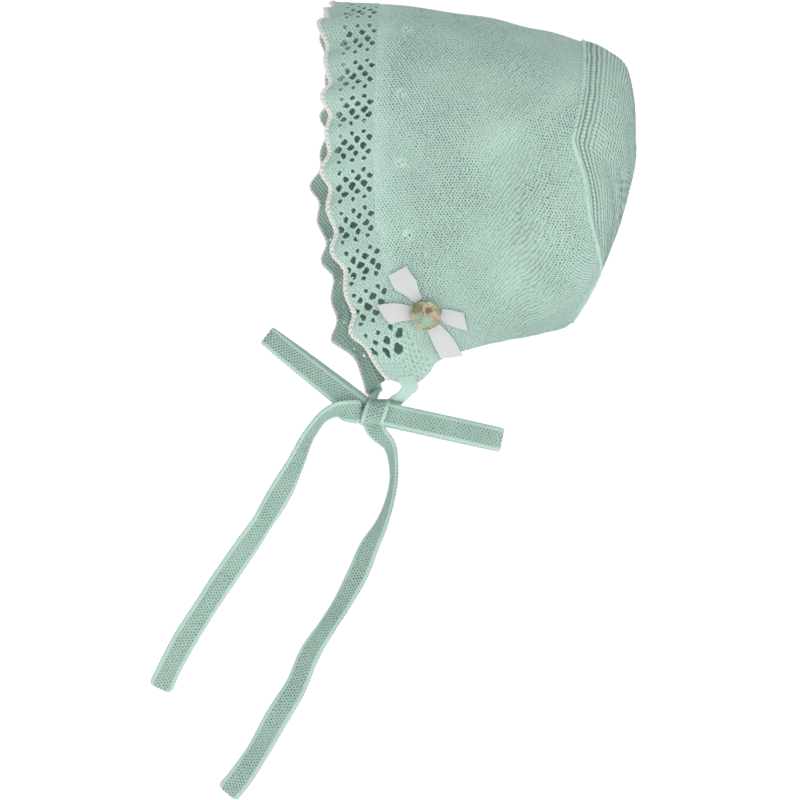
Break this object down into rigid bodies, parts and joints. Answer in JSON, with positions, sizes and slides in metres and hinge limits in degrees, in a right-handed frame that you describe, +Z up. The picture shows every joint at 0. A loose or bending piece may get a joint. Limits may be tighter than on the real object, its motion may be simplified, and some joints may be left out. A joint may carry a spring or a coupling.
{
  "type": "baby bonnet",
  "caption": "Knitted baby bonnet with a ridged back, an openwork frill edged in white chain, knotted tie straps, and a satin bow with a button at one side.",
  "frame": {"origin": "inside the top of the crown, where the head carries the bonnet", "axes": "+Z up as worn, the face opening looks towards -Y, +X is the wearer's left"},
  "size_m": [0.1199, 0.2185, 0.3585],
  "materials": {
    "mint_stockinette": "fine stockinette knit in mint cotton",
    "mint_garter": "ridged garter knit in mint cotton",
    "mint_lace": "openwork knit in mint cotton",
    "white_chain": "off-white crochet chain",
    "mint_tie": "flat tubular knit in mint cotton",
    "satin_ribbon": "pale grey satin",
    "marbled_button": "polished marbled ochre, brown and mint",
    "sewing_thread": "cream sewing thread"
  },
  "bodies": {
    "root": {"main_panel": "mint_stockinette", "back_panel": "mint_garter", "seam_welt": "mint_garter", "lace_frill": "mint_lace", "edging_braid": "white_chain", "tie_strap_left": "mint_tie", "tie_strap_right": "mint_tie", "bow_knot": "mint_tie", "bow_loop_front": "mint_tie", "bow_loop_back": "mint_tie", "tie_tail_front": "mint_tie", "tie_tail_back": "mint_tie", "ribbon_loop_upper": "satin_ribbon", "ribbon_loop_front": "satin_ribbon", "ribbon_tail_short": "satin_ribbon", "ribbon_tail_long": "satin_ribbon", "button": "marbled_button", "button_thread": "sewing_thread"}
  },
  "joints": []
}
